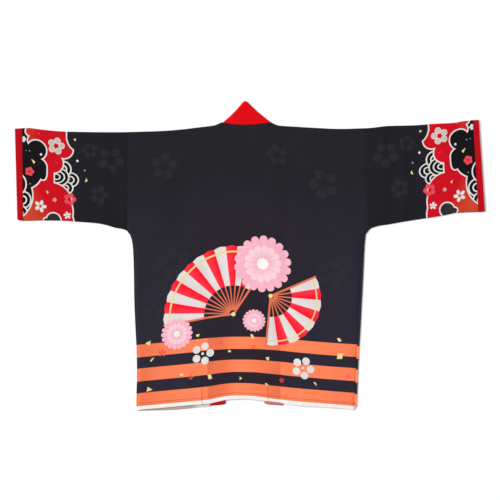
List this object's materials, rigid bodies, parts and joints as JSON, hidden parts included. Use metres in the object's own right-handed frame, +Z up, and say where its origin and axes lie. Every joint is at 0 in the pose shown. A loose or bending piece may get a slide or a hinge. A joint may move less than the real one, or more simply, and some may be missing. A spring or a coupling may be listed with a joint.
{
  "type": "happi coat laid flat",
  "caption": "Short, straight Japanese festival coat with wide sleeves and a folded neck band, laid flat with its back up.",
  "frame": {"origin": "middle of the coat's outline, on the surface that it lies on", "axes": "+X along the sleeves, +Y from the hem to the neck, +Z up out of the coat's back"},
  "size_m": [1.315, 0.8662, 0.0055],
  "materials": {
    "printed_cloth": "smooth polyester twill, black with a print in red, orange, white and pink",
    "band_cloth": "plain bright red polyester",
    "cuff_cloth": "plain deep red polyester"
  },
  "bodies": {
    "root": {"back": "printed_cloth", "front_left": "printed_cloth", "front_right": "printed_cloth", "sleeve_left": "printed_cloth", "sleeve_right": "printed_cloth", "neck_band": "band_cloth", "cuff_left": "cuff_cloth", "cuff_right": "cuff_cloth"}
  },
  "joints": []
}
